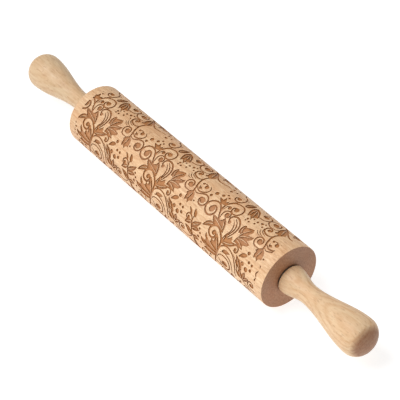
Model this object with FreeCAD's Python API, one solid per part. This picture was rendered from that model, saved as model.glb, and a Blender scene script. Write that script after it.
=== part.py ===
import FreeCAD, Part

# Embossing rolling pin: a turned beech barrel that spins on two ball bearings around a
# steel axle, with a turned beech handle pressed and glued on each end of the axle.
# Millimetres. X runs along the axle, Z is up, and the origin is on the table under the
# middle of the barrel. Every part is turned about X and then lifted to the axle's height.

import math
import os

from FreeCAD import Vector

# ---- driving dimensions ----

BARREL_LENGTH = 250.0
BARREL_DIAMETER = 54.0
BARREL_EDGE_RADIUS = 0.6
BARREL_BORE_DIAMETER = 13.0     # clears the axle and the bearings' inner rings
BEARING_INSET = 1.0             # how far the bearing sits below the barrel's end face
HANDLE_GAP = 1.0                # between the barrel's end face and the handle's root

# A 608 deep-groove ball bearing with a steel shield on each side.
BEARING_OUTER_DIAMETER = 22.0
BEARING_BORE_DIAMETER = 8.0
BEARING_WIDTH = 7.0
BEARING_PITCH_RADIUS = 7.5
RING_SHOULDER_RADII = (6.0, 9.0)    # inner ring's outside, outer ring's inside
BALL_COUNT = 7
BALL_RADIUS = 1.95
RACEWAY_RADIUS = 2.0                # the groove's own radius, so each ball runs 0.05 clear
RING_CHAMFER = 0.3

SHIELD_THICKNESS = 0.3
SHIELD_SEAT_DEPTH = 0.5             # from the bearing's side to the shield's inner side
SHIELD_SEAT_RADIUS = 9.5
SHIELD_BORE_RADIUS = 6.15

CAGE_RADII = (6.9, 8.1)
CAGE_WIDTH = 5.2
CAGE_POCKET_RADIUS = 2.03

AXLE_DIAMETER = 8.0
AXLE_DEPTH_IN_HANDLE = 45.0
AXLE_END_CHAMFER = 0.8
GLUE_GROOVE_COUNT = 4
GLUE_GROOVE_PITCH = 7.0
GLUE_GROOVE_WIDTH = 1.5
GLUE_GROOVE_DEPTH = 0.3
GLUE_GROOVE_FROM_END = 6.0

WASHER_DIAMETER = 11.6
WASHER_BORE_DIAMETER = 8.2
WASHER_CHAMFER = 0.2

# The handle's outline, from its root to its domed end.
HANDLE_LENGTH = 88.0
ROOT_RADIUS = 11.65
ROOT_EDGE_RADIUS = 1.0
ROOT_STRAIGHT = 2.5
NECK_RADIUS = 7.95
NECK_FROM_ROOT = 22.1
BULB_RADIUS = 15.7
BULB_FROM_ROOT = 75.0
ROOT_TAPER = 0.05                   # how fast the outline starts to close after the root
END_FULLNESS = 0.58                 # 0.55 would make the end a plain half ellipsoid
BORE_PAST_AXLE = 1.0
DRILL_POINT_ANGLE = 118.0

# ---- places worked out from them ----

AXLE_HEIGHT = BARREL_DIAMETER / 2
BARREL_END = BARREL_LENGTH / 2
BEARING_OUTBOARD = BARREL_END - BEARING_INSET
BEARING_MIDDLE = BEARING_OUTBOARD - BEARING_WIDTH / 2
BEARING_INBOARD = BEARING_OUTBOARD - BEARING_WIDTH
HANDLE_ROOT = BARREL_END + HANDLE_GAP
AXLE_END = HANDLE_ROOT + AXLE_DEPTH_IN_HANDLE

X_AXIS = Vector(1, 0, 0)
SIDES = ("right", "left")           # right is towards +X


# ---- helpers ----

def at(x, radius):
    """A point of an outline, at a place along the axle and a radius from it."""
    return Vector(x, 0, radius)


def turned(edges):
    """The solid that a closed outline of edges sweeps in a full turn about the axle."""
    outline = Part.Face(Part.Wire(edges))
    return outline.revolve(Vector(0, 0, 0), X_AXIS, 360)


def lines(points):
    """Straight edges through the points, in order."""
    return [Part.LineSegment(a, b).toShape() for a, b in zip(points, points[1:])]


def turned_polygon(points):
    return turned(lines(points + points[:1]))


def ring(x_from, x_to, inner_radius, outer_radius, chamfer=0.0):
    """A plain ring, with its two outside corners chamfered."""
    c = chamfer
    corners = [at(x_from, inner_radius), at(x_to, inner_radius)]
    if c:
        corners += [at(x_to, outer_radius - c), at(x_to - c, outer_radius)]
        corners += [at(x_from + c, outer_radius), at(x_from, outer_radius - c)]
    else:
        corners += [at(x_to, outer_radius), at(x_from, outer_radius)]
    return turned_polygon(corners)


def cylinder(x_from, x_to, radius):
    return Part.makeCylinder(radius, x_to - x_from, at(x_from, 0), X_AXIS)


def bezier(*points):
    curve = Part.BezierCurve()
    curve.setPoles(list(points))
    return curve.toShape()


def ball_directions():
    """The directions from the axle to each ball, evenly spaced, with the first one up."""
    for i in range(BALL_COUNT):
        turn = 2 * math.pi * i / BALL_COUNT
        yield Vector(0, math.sin(turn), math.cos(turn))


def on_side(shape, side):
    """A part made for the right end, turned half a turn about Z for the left end."""
    if side == "left":
        shape = shape.copy()
        shape.rotate(Vector(0, 0, 0), Vector(0, 0, 1), 180)
    return shape


# ---- barrel and axle ----

def barrel():
    """Beech cylinder with rounded rims, bored through, with a bearing seat in each end."""
    body = cylinder(-BARREL_END, BARREL_END, BARREL_DIAMETER / 2)
    rims = [e for e in body.Edges if e.Curve.TypeId == "Part::GeomCircle"]
    body = body.makeFillet(BARREL_EDGE_RADIUS, rims)
    body = body.cut(cylinder(-BARREL_END, BARREL_END, BARREL_BORE_DIAMETER / 2))
    for side in SIDES:
        seat = cylinder(BEARING_INBOARD, BARREL_END, BEARING_OUTER_DIAMETER / 2)
        body = body.cut(on_side(seat, side))
    return body


def axle():
    """Straight steel rod, chamfered, with glue grooves on the lengths inside the handles."""
    radius = AXLE_DIAMETER / 2
    tip = radius - AXLE_END_CHAMFER
    shoulder = AXLE_END - AXLE_END_CHAMFER
    rod = turned_polygon([
        at(-AXLE_END, 0), at(AXLE_END, 0), at(AXLE_END, tip), at(shoulder, radius),
        at(-shoulder, radius), at(-AXLE_END, tip),
    ])
    for side in SIDES:
        for i in range(GLUE_GROOVE_COUNT):
            end = AXLE_END - GLUE_GROOVE_FROM_END - i * GLUE_GROOVE_PITCH
            start = end - GLUE_GROOVE_WIDTH
            groove = ring(start, end, radius - GLUE_GROOVE_DEPTH, radius + 1)
            rod = rod.cut(on_side(groove, side))
    return rod


# ---- handle ----

def handle():
    """Turned grip: a short straight root, a waisted neck, a bulb and a domed end."""
    neck_at = HANDLE_ROOT + NECK_FROM_ROOT
    bulb_at = HANDLE_ROOT + BULB_FROM_ROOT
    end_at = HANDLE_ROOT + HANDLE_LENGTH
    straight_to = HANDLE_ROOT + ROOT_STRAIGHT
    e = ROOT_EDGE_RADIUS

    corner = at(HANDLE_ROOT + e * (1 - math.sqrt(0.5)), ROOT_RADIUS - e * (1 - math.sqrt(0.5)))
    root_edge = Part.Arc(at(HANDLE_ROOT, ROOT_RADIUS - e), corner, at(HANDLE_ROOT + e, ROOT_RADIUS))
    third = (neck_at - straight_to) / 3
    to_neck = bezier(
        at(straight_to, ROOT_RADIUS),
        at(straight_to + third, ROOT_RADIUS - ROOT_TAPER * third),
        at(neck_at - third, NECK_RADIUS),
        at(neck_at, NECK_RADIUS),
    )
    third = (bulb_at - neck_at) / 3
    to_bulb = bezier(
        at(neck_at, NECK_RADIUS),
        at(neck_at + third, NECK_RADIUS),
        at(bulb_at - third, BULB_RADIUS),
        at(bulb_at, BULB_RADIUS),
    )
    domed_end = bezier(
        at(bulb_at, BULB_RADIUS),
        at(bulb_at + END_FULLNESS * (end_at - bulb_at), BULB_RADIUS),
        at(end_at, END_FULLNESS * BULB_RADIUS),
        at(end_at, 0),
    )

    outline = lines([at(end_at, 0), at(HANDLE_ROOT, 0), at(HANDLE_ROOT, ROOT_RADIUS - e)])
    outline += [root_edge.toShape()]
    outline += lines([at(HANDLE_ROOT + e, ROOT_RADIUS), at(straight_to, ROOT_RADIUS)])
    outline += [to_neck, to_bulb, domed_end]
    body = turned(Part.__sortEdges__(outline))

    radius = AXLE_DIAMETER / 2
    bore_end = AXLE_END + BORE_PAST_AXLE
    point = radius / math.tan(math.radians(DRILL_POINT_ANGLE / 2))
    bore = turned_polygon([
        at(HANDLE_ROOT, 0), at(bore_end + point, 0), at(bore_end, radius), at(HANDLE_ROOT, radius),
    ])
    return body.cut(bore)


# ---- bearing, made around its own place at the right end ----

def raceway():
    return Part.makeTorus(BEARING_PITCH_RADIUS, RACEWAY_RADIUS, at(BEARING_MIDDLE, 0), X_AXIS)


def inner_ring():
    radius = RING_SHOULDER_RADII[0]
    blank = ring(BEARING_INBOARD, BEARING_OUTBOARD, BEARING_BORE_DIAMETER / 2, radius, RING_CHAMFER)
    return blank.cut(raceway())


def outer_ring():
    outside = BEARING_OUTER_DIAMETER / 2
    blank = ring(BEARING_INBOARD, BEARING_OUTBOARD, RING_SHOULDER_RADII[1], outside, RING_CHAMFER)
    blank = blank.cut(raceway())
    for x_from, x_to in shield_seats():
        blank = blank.cut(cylinder(x_from, x_to, SHIELD_SEAT_RADIUS))
    return blank


def shield_seats():
    """The stretch of each seat, outboard first, from the bearing's side to the seat's floor."""
    yield BEARING_OUTBOARD - SHIELD_SEAT_DEPTH, BEARING_OUTBOARD
    yield BEARING_INBOARD, BEARING_INBOARD + SHIELD_SEAT_DEPTH


def outboard_shield():
    floor = BEARING_OUTBOARD - SHIELD_SEAT_DEPTH
    return ring(floor, floor + SHIELD_THICKNESS, SHIELD_BORE_RADIUS, SHIELD_SEAT_RADIUS)


def inboard_shield():
    floor = BEARING_INBOARD + SHIELD_SEAT_DEPTH
    return ring(floor - SHIELD_THICKNESS, floor, SHIELD_BORE_RADIUS, SHIELD_SEAT_RADIUS)


def ball_centres():
    return [at(BEARING_MIDDLE, 0) + d * BEARING_PITCH_RADIUS for d in ball_directions()]


def balls():
    """The steel balls, one solid each."""
    return Part.makeCompound([Part.makeSphere(BALL_RADIUS, c) for c in ball_centres()])


def cage():
    """One ring with a round pocket for every ball."""
    half = CAGE_WIDTH / 2
    body = ring(BEARING_MIDDLE - half, BEARING_MIDDLE + half, *CAGE_RADII)
    for centre in ball_centres():
        body = body.cut(Part.makeSphere(CAGE_POCKET_RADIUS, centre))
    return body


# ---- washer between the bearing's inner ring and the handle ----

def thrust_washer():
    """Plain ring that keeps the handle off the barrel's end face."""
    inner = WASHER_BORE_DIAMETER / 2
    outer = WASHER_DIAMETER / 2
    return ring(BEARING_OUTBOARD, HANDLE_ROOT, inner, outer, WASHER_CHAMFER)


# ---- all nodes ----

END_PARTS = {
    "handle": handle,
    "thrust_washer": thrust_washer,
    "bearing_inner_ring": inner_ring,
    "bearing_outer_ring": outer_ring,
    "bearing_outboard_shield": outboard_shield,
    "bearing_inboard_shield": inboard_shield,
    "bearing_balls": balls,
    "bearing_cage": cage,
}


def all_nodes():
    nodes = {"barrel": barrel(), "axle": axle()}
    for name, make in END_PARTS.items():
        for side in SIDES:
            nodes[f"{side}_{name}"] = on_side(make(), side)
    return nodes


def main():
    os.makedirs("parts", exist_ok=True)
    for name, shape in all_nodes().items():
        shape.translate(Vector(0, 0, AXLE_HEIGHT))
        if not shape.isValid() or not shape.Solids:
            raise ValueError(f"{name} isn't a valid solid")
        shape.exportStep(f"parts/{name}.step")
        print(f"{name}: {len(shape.Solids)} solid(s), {shape.Volume:.1f} mm3")


main()
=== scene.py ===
import math
from collections import namedtuple

import bpy
import numpy as np
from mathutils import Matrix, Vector
from mathutils.geometry import delaunay_2d_cdt
from mathutils.kdtree import KDTree


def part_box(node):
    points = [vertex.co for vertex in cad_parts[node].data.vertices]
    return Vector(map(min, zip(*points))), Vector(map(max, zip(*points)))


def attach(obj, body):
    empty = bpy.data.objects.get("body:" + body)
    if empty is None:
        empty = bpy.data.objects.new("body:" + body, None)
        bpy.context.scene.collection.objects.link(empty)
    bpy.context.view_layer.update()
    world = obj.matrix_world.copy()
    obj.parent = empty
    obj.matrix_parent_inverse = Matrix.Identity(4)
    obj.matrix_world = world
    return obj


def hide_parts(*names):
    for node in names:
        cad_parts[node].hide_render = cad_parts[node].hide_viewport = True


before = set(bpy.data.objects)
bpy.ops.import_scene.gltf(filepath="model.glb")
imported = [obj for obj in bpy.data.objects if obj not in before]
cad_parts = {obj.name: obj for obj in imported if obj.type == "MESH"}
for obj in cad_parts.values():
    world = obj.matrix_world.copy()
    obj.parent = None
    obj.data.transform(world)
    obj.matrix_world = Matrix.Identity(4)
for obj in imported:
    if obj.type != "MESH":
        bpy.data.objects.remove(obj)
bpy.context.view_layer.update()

# ---- driving dimensions, in millimetres ----

MILLIMETRE = 0.001      # in metres, the scene's unit


def corners_of(node):
    """The lowest and highest corners of a CAD node, to a tenth of a millimetre."""
    return [[round(c / MILLIMETRE, 1) for c in corner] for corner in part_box(node)]


(_, _, barrel_bottom), (BARREL_END, _, barrel_top) = corners_of("barrel")
(SEAT_END, _, _), (_, _, seat_top) = corners_of("right_bearing_outer_ring")
AXLE_HEIGHT = (barrel_top + barrel_bottom) / 2
BARREL_RADIUS = barrel_top - AXLE_HEIGHT
SEAT_RADIUS = seat_top - AXLE_HEIGHT
BORE_RADIUS = 6.5
EDGE_RADIUS = 0.6       # of the barrel's rims
BARE_BAND = 8.0         # at each end of the barrel, where the engraving has stopped
GIRTH = 2 * math.pi * BARREL_RADIUS

# ---- pattern: drawing tools ----
#
# The engraving is drawn flat, in millimetres: x runs along the barrel towards +X and v runs
# around it. A shape is a closed list of (x, v) points. One tile repeats along and around.

STEP = 0.7              # spacing of points along a drawn curve
ROUND_STEP = 0.55       # and around a dot
SPAN_SAMPLES = 12       # samples of a smooth curve from one given point to the next
DOT_POINTS = 9          # the fewest points around a dot
WINDING_POINTS = 8      # and the fewest on a scroll's winding
WINDING_LENGTH = 4.5    # of one turn, over the radius that it starts at
NIB = 0.8               # how far a ribbon's ends reach past its line, in half widths
VINE_TAPER = (0.45, 1.0, 1.1, 1.0)    # a vine's widths from its start to its bud, over its own
BUD_HOLD = 0.6          # where a winding ends inside its bud, in bud radii
LEAF_SKEW = 0.75        # below 1 the widest part of a leaf is nearer to its base
LEAF_FULLNESS = 0.85    # below 1 its sides are fuller than a sine's
RIB_START, RIB_STOP = 1 / 8, 0.78     # the part of a leaf that its rib takes
LEAF_RIB = (0.55, 0.45, 0.25)         # widths along the rib of a leaf
LOBE_RIB = (0.3, 0.5, 0.45, 0.25)     # and along each rib of a lobed leaf


def through(points):
    """Points evenly spaced along a smooth curve through the given ones."""
    p = np.array(points, float)
    ends = np.vstack([2 * p[0] - p[1], p, 2 * p[-1] - p[-2]])
    t = np.linspace(0, 1, SPAN_SAMPLES, endpoint=False)[:, None]
    curve = [0.5 * (2 * b + (c - a) * t + (2 * a - 5 * b + 4 * c - d) * t**2
                    + (3 * b - a - 3 * c + d) * t**3)
             for a, b, c, d in zip(ends, ends[1:], ends[2:], ends[3:])]
    curve = np.vstack(curve + [p[-1:]])
    run = np.concatenate([[0], np.cumsum(np.linalg.norm(np.diff(curve, axis=0), axis=1))])
    even = np.linspace(0, run[-1], int(run[-1] / STEP) + 1)
    return np.column_stack([np.interp(even, run, curve[:, i]) for i in (0, 1)])


def headings(line):
    """Unit vectors along a line at each of its points, and across it to the left."""
    along = np.gradient(line, axis=0)
    along /= np.linalg.norm(along, axis=1)[:, None]
    return along, np.column_stack([-along[:, 1], along[:, 0]])


def ribbon(line, widths):
    """The shape of a line whose width changes evenly along it between the widths given."""
    t = np.linspace(0, 1, len(line))
    half = np.interp(t, np.linspace(0, 1, len(widths)), widths)[:, None] / 2
    along, left = headings(line)
    nib = along * half * NIB
    return np.vstack([line[:1] - nib[:1], line + left * half, line[-1:] + nib[-1:],
                      (line - left * half)[::-1]])


def stroke(points, *widths):
    return [ribbon(through(points), widths)]


def dot(x, v, radius):
    count = max(DOT_POINTS, int(2 * math.pi * radius / ROUND_STEP))
    turn = np.linspace(0, 2 * math.pi, count, endpoint=False)
    return [np.column_stack([x + radius * np.cos(turn), v + radius * np.sin(turn)])]


def scroll(points, centre, turns, bud, width, closing=0.55):
    """A vine through the points that winds in around the centre and ends in a round bud.

    Positive turns wind from +x towards +v. A higher closing draws the ring in sooner.
    """
    lead = through(points)
    spoke = lead[-1] - np.array(centre)
    radius, angle = np.linalg.norm(spoke), math.atan2(spoke[1], spoke[0])
    count = max(WINDING_POINTS, int(abs(turns) * radius * WINDING_LENGTH / STEP))
    t = np.linspace(0, 1, count)[1:]
    spin = angle + turns * 2 * math.pi * t
    hold = bud * BUD_HOLD
    reach = hold + (radius - hold) * (1 - t) ** closing
    winding = np.column_stack([centre[0] + reach * np.cos(spin), centre[1] + reach * np.sin(spin)])
    widths = [width * share for share in VINE_TAPER]
    return [ribbon(np.vstack([lead, winding]), widths)] + dot(*centre, bud)


def leaf_outline(base, tip, width, bend):
    """A pointed leaf around a bent rib, widest two fifths of the way up, and that rib."""
    base, tip = np.array(base, float), np.array(tip, float)
    across = np.array([base[1] - tip[1], tip[0] - base[0]]) / np.linalg.norm(tip - base)
    rib = through([base, (base + tip) / 2 + across * bend, tip])
    t = np.linspace(0, 1, len(rib))[:, None]
    half = width / 2 * np.sin(math.pi * t**LEAF_SKEW) ** LEAF_FULLNESS
    _, left = headings(rib)
    return np.vstack([rib + left * half, (rib - left * half)[-2:0:-1]]), rib


def leaf(*shape):
    return [leaf_outline(*shape)[0]]


def rib_of(*shape):
    """The rib left standing in a leaf, from near its base to three quarters of its length."""
    rib = leaf_outline(*shape)[1]
    return [ribbon(rib[int(len(rib) * RIB_START):int(len(rib) * RIB_STOP)], LEAF_RIB)]


def lobed(arcs, _ribs):
    return [np.vstack([through(arc)[:-1] for arc in arcs])]


def ribs_of_lobed(_arcs, ribs):
    return [ribbon(through(rib), LOBE_RIB) for rib in ribs]


# ---- pattern: the motifs of one tile ----

# Lobed leaves, as (arcs of the outline, ribs). The arcs meet in sharp tips.
LOBED_LEAVES = [
    # over the main stem's curl
    ([[(62.4, 40.0), (66.0, 39.8), (69.8, 40.4), (72.2, 39.2), (73.4, 36.2)],
      [(73.4, 36.2), (76.4, 38.4), (78.4, 41.8), (79.6, 47.0)],
      [(79.6, 47.0), (75.2, 45.4), (70.4, 45.6), (65.8, 44.2), (62.4, 40.0)]],
     [[(77.4, 45.0), (71.4, 43.0), (65.4, 41.4)], [(77.6, 44.4), (76.0, 41.4), (74.4, 39.0)]]),
    # the broad leaf right of the plume
    ([[(8.2, 46.2), (8.8, 42.6), (9.4, 39.8), (8.6, 38.2), (7.0, 38.8)],
      [(7.0, 38.8), (6.0, 35.2), (6.6, 32.2), (8.2, 30.2)],
      [(8.2, 30.2), (9.6, 31.4), (12.0, 30.4), (15.6, 29.0)],
      [(15.6, 29.0), (17.0, 31.6), (16.2, 34.0), (15.2, 35.4), (17.6, 35.2), (21.0, 34.0)],
      [(21.0, 34.0), (20.6, 36.8), (18.2, 39.2), (19.6, 39.8), (22.2, 40.4)],
      [(22.2, 40.4), (20.8, 42.8), (17.6, 44.0), (17.8, 45.4), (19.4, 47.2)],
      [(19.4, 47.2), (15.4, 47.0), (11.6, 46.0), (8.2, 46.2)]],
     [[(9.2, 42.0), (10.2, 37.6), (12.2, 34.2), (14.4, 31.4)], [(9.8, 41.4), (13.4, 38.0), (18.6, 36.0)],
      [(10.0, 42.2), (14.6, 40.8), (20.0, 41.0)], [(9.8, 43.4), (13.6, 44.2), (17.2, 46.0)],
      [(9.2, 37.4), (8.0, 34.8), (8.0, 32.4)]]),
    # its lower mate, against the stem
    ([[(-2.0, 53.4), (-2.4, 50.0), (-1.6, 46.8), (-0.4, 43.4)],
      [(-0.4, 43.4), (0.6, 45.6), (1.4, 47.4), (3.0, 46.4), (5.4, 43.6)],
      [(5.4, 43.6), (6.4, 46.0), (7.0, 47.0), (9.8, 46.8), (13.8, 45.8)],
      [(13.8, 45.8), (10.4, 49.2), (6.8, 51.6), (2.6, 53.0), (-2.0, 53.4)]],
     [[(-1.0, 50.6), (-0.8, 48.2), (-0.4, 45.8)], [(-0.6, 51.4), (1.8, 49.4), (4.6, 46.4)],
      [(0.0, 52.0), (5.0, 50.4), (10.0, 47.8)]]),
    # the tulip under the second stem
    ([[(33.6, 35.8), (31.2, 37.0), (28.8, 40.2)],
      [(28.8, 40.2), (30.4, 41.0), (30.2, 43.0), (31.2, 45.8)],
      [(31.2, 45.8), (32.6, 44.4), (33.6, 44.8), (35.2, 46.8)],
      [(35.2, 46.8), (35.8, 44.6), (36.8, 43.8), (38.6, 43.6)],
      [(38.6, 43.6), (37.8, 39.8), (36.2, 37.4), (33.6, 35.8)]],
     [[(33.6, 38.0), (33.4, 41.0), (32.8, 43.6)]]),
    # the fan at the foot of the main stem, on its left
    ([[(81.8, 62.0), (80.8, 56.4), (78.8, 52.4), (75.6, 49.2)],
      [(75.6, 49.2), (75.0, 52.4), (75.4, 55.4), (74.4, 56.4), (72.2, 55.2)],
      [(72.2, 55.2), (72.2, 57.8), (71.0, 58.8), (68.4, 57.4), (65.0, 54.2)],
      [(65.0, 54.2), (65.2, 57.6), (66.6, 60.4), (64.8, 61.4), (60.6, 61.0)],
      [(60.6, 61.0), (63.0, 64.8), (67.4, 65.8), (66.4, 67.4), (64.0, 68.6)],
      [(64.0, 68.6), (70.4, 69.6), (76.4, 69.0), (80.6, 66.4), (81.8, 62.0)]],
     [[(80.4, 61.0), (78.8, 56.4), (76.8, 52.6)], [(79.0, 63.0), (73.6, 61.0), (67.6, 57.0)],
      [(78.6, 65.6), (71.4, 65.6), (64.4, 63.4)]]),
    # the long bud above the second stem
    ([[(24.6, 2.4), (26.4, 8.0), (26.6, 13.4), (28.6, 18.2), (31.6, 19.4)],
      [(31.6, 19.4), (33.2, 17.6), (35.0, 15.4)], [(35.0, 15.4), (33.0, 11.4), (29.4, 6.6), (24.6, 2.4)]],
     [[(31.8, 16.6), (29.4, 11.6), (27.0, 6.6)]]),
    # the leaf near the top right
    ([[(81.2, 9.2), (80.0, 13.4), (81.0, 18.4), (83.8, 23.6)],
      [(83.8, 23.6), (84.8, 21.6), (86.4, 22.4), (89.0, 24.8)],
      [(89.0, 24.8), (88.8, 21.6), (91.8, 19.6)],
      [(91.8, 19.6), (89.2, 15.2), (85.8, 11.4), (81.2, 9.2)]],
     [[(82.4, 12.2), (82.8, 16.4), (83.8, 20.2)], [(83.2, 12.4), (85.6, 16.8), (87.6, 21.4)],
      [(84.4, 12.6), (87.4, 15.4), (89.8, 18.2)]]),
]

# Leaves with one rib, as (base, tip, width, bend of the rib).
RIBBED_LEAVES = [
    # the open leaf beside the curl, and the one near the top
    ((68.4, 45.4), (58.6, 51.8), 4.2, 0.9),
    ((74.8, 18.2), (77.6, 7.4), 5.0, 0.5),
    # the lower sprig
    ((48.2, 58.0), (57.6, 51.2), 4.4, 0.6),
    ((48.4, 60.8), (58.2, 58.2), 4.4, -0.6),
    ((47.4, 56.0), (40.0, 60.0), 4.4, 0.4),
    ((49.8, 68.2), (41.2, 61.6), 5.0, 0.8),
    ((50.8, 67.6), (58.8, 66.4), 4.0, -0.5),
    # the small burst left of it
    ((26.6, 69.0), (23.2, 60.0), 4.6, -0.3),
    ((27.2, 69.0), (29.6, 60.0), 4.6, 0.3),
    ((27.8, 69.0), (35.0, 63.6), 3.8, -0.4),
    ((23.6, 61.4), (16.6, 52.4), 3.8, 0.5),
    # around the back of the tile
    ((13.4, 83.2), (23.8, 74.6), 5.4, 0.9),
    ((13.0, 83.4), (15.4, 71.6), 5.0, -0.6),
    ((12.6, 83.4), (7.0, 75.6), 4.0, 0.4),
    ((55.8, 80.6), (44.0, 74.8), 5.4, -0.9),
    ((56.2, 80.2), (51.8, 69.8), 5.0, 0.8),
    ((68.4, 83.2), (76.2, 77.6), 3.6, -0.6),
    ((67.6, 82.8), (70.4, 74.4), 4.2, 0.4),
    ((36.6, 90.6), (45.2, 86.4), 4.8, 0.6),
    ((36.2, 90.6), (35.6, 82.4), 4.2, -0.4),
]

PLAIN_LEAVES = [
    ((61.8, 29.8), (55.0, 26.2), 2.8, 0.4),
    ((62.0, 29.6), (59.0, 23.0), 3.0, -0.2),
    ((62.4, 29.8), (63.6, 24.4), 2.4, 0.2),
    ((45.2, 51.8), (40.0, 46.6), 2.0, 0.4),
    ((49.4, 51.6), (46.0, 45.2), 3.4, 0.2),
    ((26.4, 47.6), (18.8, 52.4), 3.4, 0.5),
    ((25.4, 61.4), (20.8, 53.8), 2.6, 0.3),
    ((85.8, 58.8), (94.6, 56.4), 3.4, -0.5),
    ((24.6, 68.8), (19.6, 63.6), 3.0, 0.3),
]

# Vines that end in a bud, as (points, centre, turns, bud's radius, width) and maybe closing.
SCROLLS = [
    # the main stem, and the pair of spirals it is known by
    ([(67.4, 84.0), (71.8, 83.4), (75.6, 79.6), (78.2, 73.0), (80.2, 65.6), (81.8, 58.6), (82.0, 53.4),
      (80.4, 49.8), (77.4, 47.0)], (71.9, 51.1), -1.24, 1.7, 1.7, 0.95),
    ([(33.0, 34.4), (36.6, 35.8), (40.2, 34.4), (42.8, 33.0)], (46.0, 37.4), 1.05, 2.5, 1.3),
    ([(70.6, 42.4), (67.0, 37.2), (62.8, 32.0), (59.6, 30.4)], (57.9, 37.4), -1.12, 2.7, 1.5),
    # between the upper vine and the plume
    ([(65.0, 34.6), (64.8, 28.5), (67.4, 22.8), (70.6, 20.2), (73.4, 19.6)],
     (74.5, 26.0), 0.90, 2.1, 1.2),
    ([(69.8, 41.0), (68.4, 36.4), (68.8, 32.6), (70.6, 30.8)], (72.4, 33.6), 0.80, 1.8, 1.1),
    ([(66.2, 32.2), (66.2, 29.0), (67.4, 27.2)], (68.6, 28.6), 0.66, 1.2, 0.8),
    # along the second stem
    ([(33.0, 36.6), (30.4, 38.0), (27.6, 38.2)], (26.6, 33.4), 1.0, 2.2, 1.2),
    ([(31.0, 21.6), (29.4, 24.6), (26.0, 25.9), (22.6, 25.2)], (23.6, 21.4), 0.74, 1.5, 1.2),
    ([(3.4, 49.2), (9.4, 47.6), (13.0, 46.8)], (13.6, 50.2), 0.66, 1.4, 1.1),
    # the row along the top
    ([(0.8, 19.0), (4.6, 19.2), (8.2, 17.2)], (9.6, 11.6), -0.92, 2.2, 1.1),
    ([(27.2, 13.6), (25.8, 16.4), (22.4, 17.5)], (20.4, 11.4), 1.05, 2.5, 1.2),
    ([(61.8, -3.2), (60.2, 1.4), (62.4, 5.8), (66.8, 8.6), (69.6, 12.4), (69.8, 16.4)],
     (65.2, 15.6), 0.62, 1.9, 1.1),
    # the lower half
    ([(49.0, 61.0), (47.8, 56.0), (46.4, 52.8), (44.6, 51.6)], (43.0, 54.4), -0.72, 1.4, 1.1),
    ([(81.4, 66.8), (83.4, 63.2), (87.4, 61.8), (90.6, 62.0)], (90.6, 68.4), 0.86, 2.6, 1.2),
    ([(50.8, 66.8), (47.6, 70.4), (43.2, 72.6), (38.4, 72.2)], (37.8, 67.6), 0.90, 1.9, 1.1),
    ([(10.6, 84.0), (6.6, 83.8), (2.6, 82.0)], (4.4, 78.2), 0.84, 1.7, 1.1),
    ([(57.0, 80.6), (60.2, 78.8), (61.2, 75.0)], (65.2, 75.0), 0.80, 1.5, 1.1),
    ([(24.6, 88.0), (27.0, 85.2), (30.2, 83.2)], (29.6, 78.6), -0.92, 1.9, 1.1),
    ([(41.8, 93.0), (46.6, 90.4), (48.2, 87.0)], (46.0, 82.6), -0.70, 1.6, 1.0),
]

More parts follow.
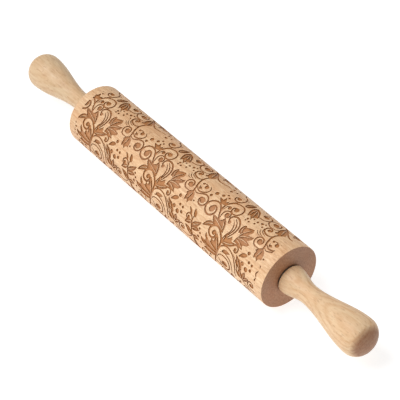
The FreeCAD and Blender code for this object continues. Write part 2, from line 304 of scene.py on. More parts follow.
# Plain strokes, as (points, widths).
STROKES = [
    # upper vine and the second stem
    ([(69.8, 13.6), (69.8, 16.8), (67.4, 21.4), (65.0, 26.4), (64.6, 31.6), (66.4, 36.6), (70.0, 41.4)],
     (0.8, 1.4, 1.5, 1.4)),
    ([(34.4, 15.8), (31.2, 20.6), (30.6, 25.4), (31.6, 30.0), (32.8, 33.4), (33.6, 37.4)],
     (1.0, 1.4, 1.6, 1.4)),
    ([(25.0, 3.2), (29.6, 7.4), (33.8, 11.6), (38.6, 14.0), (43.2, 13.2), (46.6, 11.8), (50.0, 11.8)],
     (0.8, 1.4, 1.2, 0.7)),
    # the bowl with the three berries
    ([(33.0, 31.6), (37.0, 33.4), (41.4, 32.2), (43.8, 29.2), (43.6, 26.6), (41.6, 24.6)],
     (0.8, 1.3, 1.4, 1.0, 0.6)),
    ([(34.0, 29.2), (35.4, 31.4), (38.0, 30.8)], (0.5, 0.9, 0.4)),
    ([(39.6, 27.8), (38.6, 25.6), (36.2, 25.2), (34.6, 26.2)], (0.6, 0.9, 0.5)),
    # the plume: an arch from a hook, and the strokes inside it
    ([(78.6, 37.0), (76.7, 35.0), (77.2, 32.2), (80.0, 30.4), (83.5, 30.6), (87.0, 33.0), (88.8, 36.6),
      (88.2, 41.4), (84.6, 48.4)], (1.2, 1.4, 1.6, 1.4, 1.4, 1.1, 0.8)),
    ([(81.0, 31.8), (84.4, 34.0), (86.6, 37.6), (86.2, 41.6), (83.6, 48.0)], (0.5, 1.1, 1.1, 0.7)),
    ([(80.4, 33.6), (83.2, 36.0), (84.8, 39.4), (84.6, 42.8), (82.8, 48.0)], (0.4, 1.0, 1.0, 0.6)),
    # the main stem's fork into the broad leaves
    ([(81.8, 58.0), (82.2, 53.4), (85.0, 49.6), (90.4, 45.6)], (1.3, 1.8, 1.5, 1.0)),
    # the open ellipse right of the stem, and its inner lines
    ([(81.2, 61.0), (83.6, 55.6), (88.2, 52.9), (93.8, 53.4), (99.0, 57.0), (102.4, 63.4), (102.6, 71.0)],
     (1.1, 1.3, 1.1, 1.1, 1.3, 0.6)),
    ([(97.6, 54.2), (103.0, 58.6), (105.6, 65.6)], (0.4, 1.4, 0.5)),
    ([(84.2, 60.0), (89.4, 58.6), (95.8, 61.0), (98.8, 66.0), (98.9, 71.8)], (0.4, 1.0, 1.1, 0.5)),
    ([(82.4, 66.6), (85.0, 69.4), (85.6, 73.6)], (0.5, 1.2, 1.0)),
    # the sprig's stem
    ([(55.6, 80.4), (54.8, 72.6), (50.6, 65.4), (48.2, 58.8), (47.8, 51.4)], (0.8, 1.4, 1.2, 0.7)),
    ([(36.6, 90.2), (37.2, 81.6), (33.0, 73.6), (27.4, 68.8)], (0.7, 1.1, 1.3, 0.9)),
    # strands of hair beside the second stem's curls
    ([(19.4, 22.4), (21.2, 26.0), (25.8, 27.6)], (0.4, 0.8, 0.4)),
    ([(18.4, 25.2), (20.4, 28.0), (24.6, 29.2)], (0.4, 0.8, 0.4)),
    ([(17.2, 27.4), (19.4, 29.4), (22.2, 30.0)], (0.3, 0.8, 0.3)),
    # the run under the tile's foot
    ([(70.4, 84.0), (66.6, 83.6), (62.4, 81.6), (56.0, 80.2)], (1.2, 1.3, 1.0, 0.8)),
    ([(78.8, 72.0), (82.4, 72.8), (86.4, 74.6)], (1.1, 1.3, 0.9)),
    ([(10.6, 84.0), (17.0, 84.4), (24.6, 88.0), (30.0, 91.6), (36.4, 90.6)], (0.8, 1.2, 1.2, 0.8)),
]

# Berries and dots, as (x, v, radius).
DOTS = [
    (3.0, 25.4, 1.0), (11.0, 22.1, 1.0), (10.4, 25.1, 0.9), (14.6, 20.7, 1.2), (17.2, 23.2, 0.8),
    (6.8, 22.0, 0.8), (50.0, 25.5, 1.7), (48.0, 29.8, 1.3), (55.2, 23.3, 1.4), (57.4, 20.0, 1.0),
    (60.6, 21.9, 0.9), (26.4, 45.3, 1.5), (25.0, 55.2, 1.7), (30.4, 51.0, 1.2), (34.1, 51.4, 1.2),
    (34.2, 55.7, 1.4), (29.8, 57.4, 2.0), (57.8, 56.2, 1.0), (59.4, 59.4, 1.0), (57.8, 63.2, 1.3),
    (39.4, 27.3, 1.8), (34.8, 26.2, 1.1), (36.0, 30.8, 1.2), (28.2, 18.4, 1.1), (17.0, 19.0, 0.8),
    (39.8, 41.8, 0.8), (78.6, 36.9, 1.5),
    (89.8, 27.0, 0.9), (86.6, 27.4, 0.8), (54.0, 14.6, 1.3), (57.4, 11.2, 1.0), (52.4, 9.6, 1.1),
    (49.8, 5.6, 1.4), (55.6, 5.6, 0.9), (37.6, 8.0, 1.2), (40.0, 78.6, 1.1),
    (61.4, 66.6, 1.0), (72.6, 71.6, 1.3), (24.6, 73.6, 1.2), (26.4, 82.0, 0.9),
    (19.6, 70.8, 0.9), (45.8, 64.8, 0.8), (70.2, 10.2, 0.7), (74.0, 3.4, 1.1),
    (78.6, 2.0, 0.9), (86.0, 3.8, 1.2), (90.4, 5.2, 0.8),
]


def tile_shapes():
    """One tile's shapes: lines and dots, leaves, and the ribs left standing in the leaves."""
    lines = [scroll(*one) for one in SCROLLS] + [stroke(points, *widths) for points, widths in STROKES]
    lines += [dot(*one) for one in DOTS] + [leaf(*one) for one in PLAIN_LEAVES]
    leaves = [leaf(*one) for one in RIBBED_LEAVES] + [lobed(*one) for one in LOBED_LEAVES]
    ribs = [rib_of(*one) for one in RIBBED_LEAVES] + [ribs_of_lobed(*one) for one in LOBED_LEAVES]
    return [[shape for several in kind for shape in several] for kind in (lines, leaves, ribs)]


# ---- barrel mesh ----
#
# The barrel's surface is meshed flat, in millimetres along (x) and around (s), then rolled up.
# Engraved triangles sink below the rest, and walls join the two levels.

SHEET_END = BARREL_END - EDGE_RADIUS
BAND_END = BARREL_END - BARE_BAND
CUT_DEPTH = 0.7
AROUND, ALONG = 96, 140   # facets of the plain surface
RIM_FACETS = 4            # facets of a rounded rim
TILES_ALONG, TILES_AROUND = 3, 2
TILE_LENGTH = 83.9        # as drawn; a laid tile takes its share of the barrel's length
TILE_GIRTH = GIRTH / TILES_AROUND
TILE_START = -7.8         # where a tile begins along the barrel
TILE_TURN = math.radians(-49.1)   # and around it, from straight up towards -Y
CHAR_AND_SHADE_REACH = 1.35         # how far from its edge a cut's floor is still darkened, partly as laser burn and partly as painted shade
WALL_CHAR_AND_SHADE = 0.8           # how darkened the walls are, partly by laser burn and partly as painted shade, where 1 is darkest
GENTLE_CORNER = math.cos(math.radians(50))   # walls that turn by less than this are shaded as one
SAME_POINT = 1e-4         # drawn points nearer to each other than this become one
ON_EDGE = 1e-3            # points nearer to an edge of the sheet than this are on it
SEAM_SLACK = 0.02         # how far apart the seam's two sides may be before they are joined

# The texture has the sheet below and the barrel's ends and bore above it.
MAP_MARGIN, MAP_WIDTH, MAP_SHEET = 0.01, 0.98, 0.8
MAP_ENDS, MAP_ENDS_HEIGHT = 0.83, 0.16
MAP_LONGEST = 12.0        # a longer piece of the ends' outline is given only this much of the texture
WALL_PULL = 0.2           # how far a wall's corners are pulled into its triangle on the texture


def laid_out():
    """Every copy of the tile's lines, leaves and ribs that touches the sheet."""
    squeeze = 2 * BARREL_END / TILES_ALONG / TILE_LENGTH
    tile = tile_shapes()
    placed = [[], [], []]
    # tiles start inside the sheet and shapes reach out of their tile, so extra ones are laid
    for along in range(-2, TILES_ALONG - 1):
        for around in range(-1, TILES_AROUND + 1):
            for kind, shapes in zip(placed, tile):
                for shape in shapes:
                    x = TILE_START + squeeze * (shape[:, 0] + along * TILE_LENGTH)
                    s = shape[:, 1] + around * TILE_GIRTH
                    if x.max() > -BAND_END and x.min() < BAND_END and s.max() > 0 and s.min() < GIRTH:
                        kind.append(np.column_stack([x.clip(-BAND_END, BAND_END), s]))
    return placed


def inside(points, shape):
    """Which of the points are inside a closed shape that may cross itself."""
    low, high = shape.min(axis=0), shape.max(axis=0)
    near = np.flatnonzero(((points > low) & (points < high)).all(axis=1))
    px, pv = points[near].T[:, :, None]
    (ax, av), (bx, bv) = shape.T, np.roll(shape, -1, axis=0).T
    left = (bx - ax) * (pv - av) - (px - ax) * (bv - av)
    rising = (av <= pv) & (pv < bv) & (left > 0)
    falling = (bv <= pv) & (pv < av) & (left < 0)
    return near[rising.sum(axis=1) != falling.sum(axis=1)]


def sheet_triangles():
    """The flat sheet: its points, its triangles, and which of them are engraved."""
    drawn = laid_out()
    xs = np.linspace(-SHEET_END, SHEET_END, ALONG + 1)
    ss = np.linspace(0, GIRTH, AROUND + 1)
    points = [np.column_stack([np.tile(xs, AROUND + 1), np.repeat(ss, ALONG + 1)])]
    near = np.arange(ALONG)
    far = near + AROUND * (ALONG + 1)
    edges = [np.column_stack([row, row + 1]) for row in (near, far)]
    count = len(points[0])
    for shape in sum(drawn, []):
        loop = np.arange(count, count + len(shape))
        points.append(shape)
        edges.append(np.column_stack([loop, np.roll(loop, -1)]))
        count += len(shape)
    flat, _, faces, *_ = delaunay_2d_cdt([Vector(p) for p in np.vstack(points).tolist()],
                                         np.vstack(edges).tolist(), [], 0, SAME_POINT, False)
    flat, faces = np.array([tuple(p) for p in flat]), np.array(faces)
    centres = flat[faces].mean(axis=1)
    on_sheet = (centres[:, 1] > 0) & (centres[:, 1] < GIRTH)
    faces, centres = faces[on_sheet], centres[on_sheet]
    marks = np.zeros((3, len(faces)), bool)
    for mark, shapes in zip(marks, drawn):
        for shape in shapes:
            mark[inside(centres, shape)] = True
    in_line, in_leaf, in_rib = marks
    return flat, faces[:, ::-1], in_line | in_leaf & ~in_rib


def joined_seam(flat):
    """For each point its own number, or for one on the sheet's far edge the one it meets when rolled."""
    same = np.arange(len(flat))
    near = np.flatnonzero(abs(flat[:, 1]) < ON_EDGE)
    far = np.flatnonzero(abs(flat[:, 1] - GIRTH) < ON_EDGE)
    near, far = near[np.argsort(flat[near, 0])], far[np.argsort(flat[far, 0])]
    assert len(near) == len(far) and abs(flat[near, 0] - flat[far, 0]).max() < SEAM_SLACK
    same[far] = near
    return same


def rolled(flat, radius):
    """Places of flat points on a cylinder of that radius, and the directions straight out there."""
    turn = TILE_TURN + flat[:, 1] / BARREL_RADIUS
    out = np.column_stack([np.zeros(len(flat)), -np.sin(turn), np.cos(turn)])
    return np.column_stack([flat[:, 0], np.zeros((len(flat), 2))]) + out * radius, out


# The barrel's rolled sheet: same is joined_seam's answer, high and low are the points of the
# surface and of the cuts' floors, and out is the direction straight out at each.
Sheet = namedtuple("Sheet", "flat triangles engraved same high low out")


def rolled_sheet():
    flat, triangles, engraved = sheet_triangles()
    high, out = rolled(flat, BARREL_RADIUS)
    low, _ = rolled(flat, BARREL_RADIUS - CUT_DEPTH)
    return Sheet(flat, triangles, engraved, joined_seam(flat), high, low, out)


class Faces:
    """Corners of the barrel's faces as they are collected, with what each corner carries.

    A corner's point is numbered from the sheet's high points, through its low ones, to the ends'.
    """

    def __init__(self):
        self.corners, self.normals, self.maps, self.sizes = [], [], [], []
        self.cuts, self.chars_and_shades = [], []

    def add(self, corners, normals, maps, cut=0.0, char_and_shade=0.0):
        """Each argument has one row for each face and one column for each of its corners."""
        self.sizes.append(np.full(len(corners), corners.shape[1]))
        self.corners.append(corners.ravel())
        self.normals.append(normals.reshape(-1, 3))
        self.maps.append(maps.reshape(-1, 2))
        self.cuts.append(np.broadcast_to(cut, corners.shape).ravel())
        self.chars_and_shades.append(np.broadcast_to(char_and_shade, corners.shape).ravel())


def sheet_map(flat):
    """Where flat points lie on the texture."""
    u = MAP_MARGIN + MAP_WIDTH * (flat[..., 0] / SHEET_END + 1) / 2
    v = MAP_MARGIN + MAP_SHEET * flat[..., 1] / GIRTH
    return np.stack([u, v], axis=-1)


def cut_edges(sheet):
    """The start and end of each edge where an engraved triangle meets a plain one, and its triangle."""
    ids = sheet.same[sheet.triangles]
    onward = np.roll(ids, -1, axis=1)
    count = len(sheet.flat)
    there, back = ids * count + onward, onward * count + ids
    which, corner = np.nonzero(sheet.engraved[:, None] & np.isin(there, back[~sheet.engraved]))
    triangles = sheet.triangles[which]
    row = np.arange(len(which))
    return triangles[row, corner], triangles[row, (corner + 1) % 3], triangles


def add_surface(made, sheet):
    plain = sheet.triangles[~sheet.engraved]
    made.add(sheet.same[plain], sheet.out[plain], sheet_map(sheet.flat[plain]))


def add_floors(made, sheet, rim):
    """The floors of the cuts, darkest against their walls by laser burn and painted shade, which stand on
    the rim's points.
    """
    tree = KDTree(len(rim))
    for i in rim:
        tree.insert((*sheet.flat[i], 0), int(i))
    tree.balance()
    floors = sheet.triangles[sheet.engraved]
    ids = sheet.same[floors]
    # each floor point darkens by its nearness to a wall: partly laser burn, partly painted shade in the
    # cut's corners
    char_and_shade = np.zeros(len(sheet.flat))
    for i in np.unique(ids):
        char_and_shade[i] = max(0.0, 1 - tree.find((*sheet.flat[i], 0))[2] / CHAR_AND_SHADE_REACH)
    made.add(ids + len(sheet.flat), sheet.out[floors], sheet_map(sheet.flat[floors]), 1.0, char_and_shade[ids])


def wall_ends(a, b, across):
    """Which way each wall faces at b and at a: shared with the next wall where they meet gently."""
    by_start, by_end = np.argsort(a), np.argsort(b)
    onward = by_start[np.searchsorted(a[by_start], b).clip(max=len(a) - 1)]
    before = by_end[np.searchsorted(b[by_end], a).clip(max=len(b) - 1)]
    ends = []
    for other, joined in ((onward, a[onward] == b), (before, b[before] == a)):
        gentle = joined & ((across * across[other]).sum(axis=1) > GENTLE_CORNER)
        mean = across + across[other] * gentle[:, None]
        ends.append(mean / np.linalg.norm(mean, axis=1)[:, None])
    return ends


def add_walls(made, sheet, start, stop, triangles):
    """The walls between the surface and the floors, one for each cut edge."""
    a, b = sheet.same[start], sheet.same[stop]
    across = np.cross(sheet.out[a], sheet.high[b] - sheet.high[a])
    across /= np.linalg.norm(across, axis=1)[:, None]
    at_b, at_a = wall_ends(a, b, across)
    centres = sheet.flat[triangles].mean(axis=1)[:, None]
    places = sheet.flat[np.column_stack([stop, start, start, stop])]
    below = len(sheet.flat)
    # the walls are darkened throughout: partly laser burn, partly painted shade
    made.add(np.column_stack([b + below, a + below, a, b]), np.stack([at_b, at_a, at_a, at_b], axis=1),
             sheet_map((1 - WALL_PULL) * places + WALL_PULL * centres), 1.0, WALL_CHAR_AND_SHADE)


def end_profile():
    """The barrel's outline from one rim through the bore to the other, in pieces of two (x, r, normal)."""
    rim_centre = BARREL_RADIUS - EDGE_RADIUS
    pieces = []
    for end in (1, -1):
        rim = [(end * (SHEET_END + EDGE_RADIUS * math.sin(t)), rim_centre + EDGE_RADIUS * math.cos(t),
                (end * math.sin(t), math.cos(t))) for t in np.linspace(0, math.pi / 2, RIM_FACETS + 1)]
        inward = [(end * BARREL_END, rim_centre), (end * BARREL_END, SEAT_RADIUS),
                  (end * SEAT_END, SEAT_RADIUS), (end * SEAT_END, BORE_RADIUS)]
        facing = [(end, 0), (0, -1), (end, 0)]
        side = list(zip(rim, rim[1:]))
        side += [((*a, normal), (*b, normal)) for a, b, normal in zip(inward, inward[1:], facing)]
        pieces.append(side if end > 0 else [(stop, start) for start, stop in side[::-1]])
    bore = [((SEAT_END, BORE_RADIUS, (0, -1)), (-SEAT_END, BORE_RADIUS, (0, -1)))]
    return pieces[0] + bore + pieces[1]


def edge_ring(sheet, x):
    """The sheet's points at one of its ends, in order around the barrel."""
    own = sheet.same == np.arange(len(sheet.flat))
    ring = np.flatnonzero((abs(sheet.flat[:, 0] - x) < ON_EDGE) & own)
    return ring[np.argsort(sheet.flat[ring, 1])]


def add_ends(made, sheet):
    """The barrel's ends, seats and bore, ring by ring. Returns the points that they add."""
    profile = end_profile()
    lengths = [min(math.dist(start[:2], stop[:2]), MAP_LONGEST) for start, stop in profile]
    rows = np.cumsum([0.0] + lengths)
    rows = MAP_ENDS + MAP_ENDS_HEIGHT * rows / rows[-1]
    here, last = edge_ring(sheet, SHEET_END), edge_ring(sheet, -SHEET_END)
    around, radial = sheet.flat[here, 1], sheet.out[here]
    onward = np.roll(np.arange(AROUND), -1)
    turn = around / GIRTH
    turns = np.column_stack([turn, np.append(turn[1:], 1.0)])[:, [0, 1, 1, 0]]
    points = []
    for i, (start, stop) in enumerate(profile):
        if i + 1 < len(profile):
            there = np.arange(AROUND) + 2 * len(sheet.flat) + i * AROUND
            points.append(rolled(np.column_stack([np.full(AROUND, stop[0]), around]), stop[1])[0])
        else:
            there = last
        first, second = (radial * r + (x, 0, 0) for _, _, (x, r) in (start, stop))
        heights = np.broadcast_to(rows[[i, i, i + 1, i + 1]], turns.shape)
        made.add(np.column_stack([here, here[onward], there[onward], there]),
                 np.stack([first, first[onward], second[onward], second], axis=1),
                 np.stack([turns, heights], axis=-1))
        here = there
    return np.vstack(points)


def engraved_barrel():
    """The barrel as one closed mesh, with its engraving cut into it."""
    sheet, made = rolled_sheet(), Faces()
    start, stop, triangles = cut_edges(sheet)
    add_surface(made, sheet)
    add_floors(made, sheet, np.unique(sheet.same[np.concatenate([start, stop])]))
    add_walls(made, sheet, start, stop, triangles)
    points = np.vstack([sheet.high, sheet.low, add_ends(made, sheet)])

    sizes = np.concatenate(made.sizes)
    used, corners = np.unique(np.concatenate(made.corners), return_inverse=True)
    points = (points[used] + (0, 0, AXLE_HEIGHT)) * MILLIMETRE
    mesh = bpy.data.meshes.new("engraved_barrel")
    mesh.vertices.add(len(points))
    mesh.vertices.foreach_set("co", points.astype(np.float32).ravel())
    mesh.loops.add(len(corners))
    mesh.loops.foreach_set("vertex_index", corners.astype(np.int32))
    mesh.polygons.add(len(sizes))
    mesh.polygons.foreach_set("loop_start", (np.cumsum(sizes) - sizes).astype(np.int32))
    mesh.polygons.foreach_set("use_smooth", np.ones(len(sizes), bool))
    mesh.update(calc_edges=True)
    layer = mesh.uv_layers.new(name="OFBake")
    layer.data.foreach_set("uv", np.concatenate(made.maps).astype(np.float32).ravel())
    for name, values in (("char_and_shade", made.chars_and_shades), ("cut", made.cuts)):
        attribute = mesh.attributes.new(name, "FLOAT", "CORNER")
        attribute.data.foreach_set("value", np.concatenate(values).astype(np.float32))
    mesh.normals_split_custom_set(np.concatenate(made.normals).tolist())

    barrel = bpy.data.objects.new("engraved_barrel", mesh)
    bpy.context.scene.collection.objects.link(barrel)
    return barrel


# ---- materials ----

# Outputs of the texture coordinates, noise and attribute nodes, and the mix node's colour sockets.
NORMAL, OBJECT = 1, 3
NOISE_COLOUR = 1
FACTOR = 2
MIX_INPUTS, MIX_OUTPUT = (0, 6, 7), 2


class Nodes:
    """A material's node tree with short ways to add to it."""

    def __init__(self, name):
        self.material = bpy.data.materials.new(name)
        self.material.use_nodes = True
        self.tree = self.material.node_tree
        self.surface = next(n for n in self.tree.nodes if n.type == "BSDF_PRINCIPLED")

    def plug(self, socket, value):
        if isinstance(value, bpy.types.NodeSocket):
            self.tree.links.new(value, socket)
        elif value is not None:
            socket.default_value = value

    def add(self, kind, *values, out=0, **settings):
        node = self.tree.nodes.new("ShaderNode" + kind)
        for key, value in settings.items():
            if hasattr(node, key):
                setattr(node, key, value)
            else:
                self.plug(node.inputs[key], value)
        for socket, value in zip(node.inputs, values):
            self.plug(socket, value)
        return node.outputs[out]

    def place(self, scale, shift=(0, 0, 0)):
        """Object coordinates, scaled for each axis, in repeats per metre."""
        where = self.add("TexCoord", out=OBJECT)
        moved = self.add("VectorMath", where, shift, operation="ADD")
        return self.add("VectorMath", moved, scale, operation="MULTIPLY")

    def noise(self, scale, detail=2.0, shift=(0, 0, 0), rough=0.5, out=0):
        where = self.place(scale, shift)
        return self.add("TexNoise", Vector=where, Scale=1.0, Detail=detail, Roughness=rough, out=out)

    def grain(self, look, out=0):
        """One of the wood's noises, longer along X than across it."""
        scale = (look.along, look.across, look.across)
        return self.noise(scale, look.detail, look.shift, look.rough, out)

    def span(self, value, low, high, new_low=0.0, new_high=1.0):
        return self.add("MapRange", value, low, high, new_low, new_high, clamp=True)

    def blend(self, factor, a, b, how="MIX"):
        node = self.tree.nodes.new("ShaderNodeMix")
        node.data_type, node.blend_type = "RGBA", how
        for i, value in zip(MIX_INPUTS, (factor, a, b)):
            self.plug(node.inputs[i], value)
        return node.outputs[MIX_OUTPUT]

    def tinted(self, colour, tint):
        return self.blend(1.0, colour, tint, "MULTIPLY")

    def maths(self, how, *values):
        return self.add("Math", *values, operation=how)

    def bump(self, height, depth):
        bumped = self.add("Bump", Height=height, Strength=1.0, Distance=depth)
        self.plug(self.surface.inputs["Normal"], bumped)

    def finish(self, colour, roughness, metallic=0.0):
        self.plug(self.surface.inputs["Base Color"], colour)
        self.plug(self.surface.inputs["Roughness"], roughness)
        self.plug(self.surface.inputs["Metallic"], metallic)
        return self.material


def srgb(red, green, blue):
    """A colour given as it looks on screen, 0 to 255, as linear light."""
    return tuple(((c / 255 + 0.055) / 1.055) ** 2.4 for c in (red, green, blue)) + (1.0,)


USUAL = (0.3, 0.7)        # the range that most of a noise's values are in

# The wood's noises: repeats per metre along and across the grain, and how each one is made.
Grain = namedtuple("Grain", "along across detail shift rough")
WANDER = Grain(16, 34, 1.0, (0.2, 0, 0), 0.5)           # how growth rings stray from circles
FIBRES = Grain(40, 620, 4.0, (0, 0, 0), 0.6)
STREAKS = Grain(9, 260, 3.0, (0.1, 0, 0), 0.6)
CLOUDS = Grain(14, 30, 2.0, (0.3, 0, 0), 0.5)
SPECKLES = Grain(240, 900, 2.0, (0, 0.2, 0), 0.7)
BLUSH = Grain(26, 70, 3.0, (0.7, 0, 0), 0.6)            # patches of a warmer tone
FLECKS = Grain(170, 760, 2.0, (0, 0.1, 0), 0.5)
PORES = Grain(900, 2600, 2.0, (0, 0, 0), 0.5)
SCORCH = Grain(160, 300, 3.0, (0.5, 0, 0), 0.6)         # patches where the laser burnt darker
RINGS = (5, 105, 105)     # scale of the growth rings along each axis
RING_SHARPNESS = 2.2
PLAIN_TONE = 0.16         # how far plain wood is from a blank's light colour to its dark one
STREAKING, CLOUDING = 0.12, 0.18    # how much streaks and clouds darken it
FLECK_STRENGTH, FLECK_COLOUR = 0.34, (0.41, 0.18, 0.085, 1)
BLUSH_STRENGTH, BLUSH_TINT = 0.8, (1.0, 0.90, 0.82, 1)
PORE_STRENGTH, PORE_TINT = 0.6, (0.38, 0.275, 0.24, 1)
END_GRAIN = (0.50, 0.80)  # how squarely a face has to look along X to show end grain
HANDLE_RELIEF, BARREL_RELIEF = 0.00006, 0.00008         # height of the fine grain, in metres
HANDLE_ROUGHNESS, BARREL_ROUGHNESS = (0.42, 0.56), (0.46, 0.6)

# One piece of wood: minus the place of its rings' middle in metres, how much bands, fibres and
# speckles darken it, its lightest and darkest colours, and its end grain's tint.
Blank = namedtuple("Blank", "pith banding fibres speckling light dark end_tint")
BARREL_BLANK = Blank((0, 0.045, 0.03), 0.09, 0.48, 0.36,
                     srgb(254, 220, 178), srgb(210, 159, 113), (0.57, 0.45, 0.415, 1))
RIGHT_BLANK = Blank((0, -0.0285, 0.014), 0.22, 0.32, 0.15,
                    srgb(246, 220, 182), srgb(212, 166, 119), (0.50, 0.355, 0.30, 1))
# The left handle's colours are darker than the right's as painted shade, for the handle that gets less
# light.
LEFT_SHADED_BLANK = RIGHT_BLANK._replace(banding=0.15, light=srgb(231, 205, 169), dark=srgb(191, 152, 107))


def beech_colour(n, blank):
    """Sawn and turned beech: soft growth bands, fibres along X, and short dark ray flecks."""
    bent = n.add("VectorMath", n.place(RINGS, blank.pith), n.grain(WANDER, NOISE_COLOUR), operation="ADD")
    bands = n.add("TexWave", Vector=bent, Scale=1.0, Distortion=0.9, Detail=2.0,
                  wave_type="RINGS", rings_direction="X", wave_profile="SIN", **{"Detail Scale": 1.4})
    bands = n.maths("POWER", n.add("SeparateColor", bands), RING_SHARPNESS)
    fibre, streak, cloud, speckle = (n.grain(look) for look in (FIBRES, STREAKS, CLOUDS, SPECKLES))
    tone = n.span(fibre, *USUAL, PLAIN_TONE - blank.fibres / 2, PLAIN_TONE + blank.fibres / 2)
    for part, share in ((bands, blank.banding), (n.span(streak, *USUAL), STREAKING),
                        (n.span(cloud, *USUAL), CLOUDING), (n.span(speckle, 0.35, 0.65), blank.speckling)):
        tone = n.maths("MULTIPLY_ADD", part, share, tone)
    wood = n.blend(tone, blank.light, blank.dark)
    blush = n.span(n.grain(BLUSH), 0.42, 0.68, 0.0, BLUSH_STRENGTH)
    wood = n.blend(blush, wood, n.tinted(wood, BLUSH_TINT))
    fleck = n.span(n.grain(FLECKS), 0.57, 0.68)
    wood = n.blend(n.maths("MULTIPLY", fleck, FLECK_STRENGTH), wood, FLECK_COLOUR)
    facing = n.add("SeparateXYZ", n.add("TexCoord", out=NORMAL))
    end_grain = n.span(n.maths("ABSOLUTE", facing), *END_GRAIN)
    pores = n.span(n.grain(PORES), 0.35, 0.65)
    tint = n.blend(n.maths("MULTIPLY", pores, PORE_STRENGTH), blank.end_tint, PORE_TINT)
    return n.blend(end_grain, wood, n.tinted(wood, tint)), fibre


def handle_beech(name, blank):
    n = Nodes(name)
    wood, fibre = beech_colour(n, blank)
    n.bump(fibre, HANDLE_RELIEF)
    return n.finish(wood, n.span(fibre, *USUAL, *HANDLE_ROUGHNESS))


BURN_LIGHT, BURN_DARK = srgb(206, 147, 95), srgb(181, 123, 71)     # a cut's floor
EDGE_LIGHT, EDGE_DARK = srgb(178, 118, 62), srgb(148, 96, 43)      # and against its walls, darker by burn and by painted shade
CHAR_AND_SHADE_FALL = 1.15          # above 1 the dark edges of burn and painted shade are narrower
WOOD_SHOWS = 0.2          # how much of the wood's own pattern the burn lets through
PAINTED_FALLOFF_START = 0.4         # how far along its right half the barrel starts to darken to the left, as painted shade
# the tint of that painted shade at the barrel's -X end
PAINTED_FALLOFF_TINT = (0.91, 0.90, 0.89, 1)


def barrel_beech():
    """Beech with the laser's burn in the cuts, darkest along their edges where painted shade adds to the
    burn, and painted shade that darkens it towards -X.
    """
    n = Nodes("engraved_beech")
    wood, fibre = beech_colour(n, BARREL_BLANK)
    # The cuts darken near and on their walls: partly laser burn, partly painted shade.
    char_and_shade = n.add("Attribute", attribute_name="char_and_shade", out=FACTOR)
    cut = n.add("Attribute", attribute_name="cut", out=FACTOR)
    patches = n.grain(SCORCH)
    burnt = n.blend(n.span(patches, *USUAL), BURN_LIGHT, BURN_DARK)
    edge = n.blend(n.span(patches, *USUAL), EDGE_LIGHT, EDGE_DARK)
    burnt_and_shaded = n.blend(n.maths("POWER", char_and_shade, CHAR_AND_SHADE_FALL), burnt, edge)
    burnt_and_shaded = n.blend(WOOD_SHOWS, burnt_and_shaded, n.tinted(burnt_and_shaded, wood))
    n.bump(n.blend(cut, fibre, patches), BARREL_RELIEF)
    # Painted shade: the barrel's colour darkens towards its -X end, as if less light reached it.
    along = n.add("SeparateXYZ", n.add("TexCoord", out=OBJECT))
    painted_falloff = n.span(along, BARREL_END * PAINTED_FALLOFF_START * MILLIMETRE, -BARREL_END * MILLIMETRE)
    whole = n.blend(cut, wood, burnt_and_shaded)
    whole = n.blend(painted_falloff, whole, n.tinted(whole, PAINTED_FALLOFF_TINT))
    return n.finish(whole, n.span(fibre, *USUAL, *BARREL_ROUGHNESS))


STEEL_SHADE, NYLON_SHADE = 0.86, 0.9        # how dark the darkest marks are, over the tone
STEEL_RELIEF, NYLON_RELIEF = 0.00001, 0.00002         # height of the marks, in metres
STEEL_DULLING = 0.12      # how much rougher the marks are
NYLON_ROUGHNESS = (0.5, 0.65)


def mottled(n, noise, tone, shade):
    """A tone that goes down to a shade of it where the noise is low."""
    return n.blend(noise, tuple(c * shade for c in tone) + (1,), tone + (1,))


def brushed_steel(name, tone, grain, roughness):
    """Steel with fine tool marks; grain is how many marks there are per metre along each axis."""
    n = Nodes(name)
    marks = n.noise(grain)
    colour = mottled(n, marks, tone, STEEL_SHADE)
    n.bump(marks, STEEL_RELIEF)
    return n.finish(colour, n.span(marks, *USUAL, roughness, roughness + STEEL_DULLING), metallic=1.0)


def moulded_nylon(name, tone):
    n = Nodes(name)
    mottle = n.noise((900, 900, 900), 3.0)
    colour = mottled(n, mottle, tone, NYLON_SHADE)
    n.bump(mottle, NYLON_RELIEF)
    return n.finish(colour, n.span(mottle, *USUAL, *NYLON_ROUGHNESS))


def give(piece, material):
    piece.data.materials.clear()
    piece.data.materials.append(material)


def dress(nodes, barrel):
    """Gives the barrel and every CAD node its material, by the last word of the node's name."""
    give(barrel, barrel_beech())
    ground = brushed_steel("ground_steel", (0.72, 0.73, 0.75), (5000, 400, 400), 0.16)
    looks = {
        "axle": brushed_steel("drawn_steel", (0.62, 0.63, 0.65), (4000, 120, 120), 0.28),
        "ring": ground,
        "balls": ground,
        "shield": brushed_steel("pressed_steel", (0.62, 0.60, 0.56), (300, 3000, 3000), 0.34),
        "cage": moulded_nylon("black_nylon", (0.022, 0.022, 0.025)),
        "washer": moulded_nylon("white_nylon", (0.71, 0.69, 0.64)),
    }
    for name, node in nodes.items():
        kind = name.split("_")[-1]
        if kind in looks:
            give(node, looks[kind])
    give(nodes["right_handle"], handle_beech("turned_beech", RIGHT_BLANK))
    # the left handle's darker wood is painted shade
    give(nodes["left_handle"], handle_beech("plain_beech_with_painted_shade", LEFT_SHADED_BLANK))


# ---- room, light and camera ----

CENTRE = Vector((0, 0, AXLE_HEIGHT * MILLIMETRE))
CAMERA_OFFSET = Vector((0.7233, -0.5500, 0.7842))     # from the centre
CAMERA_AIM = Vector((0.0104, 0.0054, -0.0056))
LENS, SENSOR = 136.4, 36.0
FLOOR_REACH, FLOOR_DROP = 6.0, 0.0002
FLOOR_GLOW, SKY_GLOW = 0.75, 0.28
WHITE = (1, 1, 1, 1)


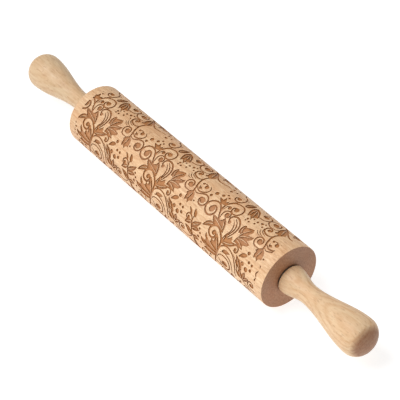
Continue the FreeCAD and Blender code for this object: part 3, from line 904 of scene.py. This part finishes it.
def make_camera():
    camera = bpy.data.objects.new("camera", bpy.data.cameras.new("camera"))
    camera.data.lens, camera.data.sensor_width = LENS, SENSOR
    camera.data.clip_start, camera.data.clip_end = 0.05, 20
    camera.location = CENTRE + CAMERA_OFFSET
    camera.rotation_euler = (CAMERA_AIM - CAMERA_OFFSET).to_track_quat("-Z", "Y").to_euler()
    bpy.context.scene.collection.objects.link(camera)
    bpy.context.scene.camera = camera


def soft_light(name, offset, size, watts):
    lamp = bpy.data.lights.new(name, "AREA")
    lamp.shape, lamp.size, lamp.energy = "DISK", size, watts
    light = bpy.data.objects.new(name, lamp)
    light.location = CENTRE + Vector(offset)
    light.rotation_euler = (-Vector(offset)).to_track_quat("-Z", "Y").to_euler()
    bpy.context.scene.collection.objects.link(light)


def pale_material():
    n = Nodes("pale_floor")
    faint = n.noise((3, 3, 3))
    n.surface.inputs["Emission Color"].default_value = WHITE
    n.surface.inputs["Emission Strength"].default_value = FLOOR_GLOW
    return n.finish(n.blend(faint, (0.45, 0.45, 0.45, 1), (0.48, 0.48, 0.48, 1)), 0.8)


def make_room():
    """A wide pale floor, a pale sky, and two soft lamps, the strong one from the -X and -Y side."""
    mesh = bpy.data.meshes.new("floor")
    places = [(FLOOR_REACH * x, FLOOR_REACH * y, 0) for x, y in ((-1, -1), (1, -1), (1, 1), (-1, 1))]
    mesh.from_pydata(places, [], [(0, 1, 2, 3)])
    floor = bpy.data.objects.new("floor", mesh)
    floor.location.z = -FLOOR_DROP
    bpy.context.scene.collection.objects.link(floor)
    give(floor, pale_material())

    world = bpy.data.worlds.new("sky")
    world.use_nodes = True
    sky = world.node_tree.nodes["Background"]
    sky.inputs["Color"].default_value = WHITE
    sky.inputs["Strength"].default_value = SKY_GLOW
    bpy.context.scene.world = world
    bpy.context.scene.view_settings.view_transform = "Standard"
    soft_light("key", (-0.75, -1.55, 2.6), 2.3, 76)
    soft_light("fill", (0.4, 1.8, 2.6), 2.0, 10)


# ---- assembly ----

make_room()
make_camera()
barrel = engraved_barrel()
dress(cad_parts, barrel)
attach(barrel, "barrel")
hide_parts("barrel")
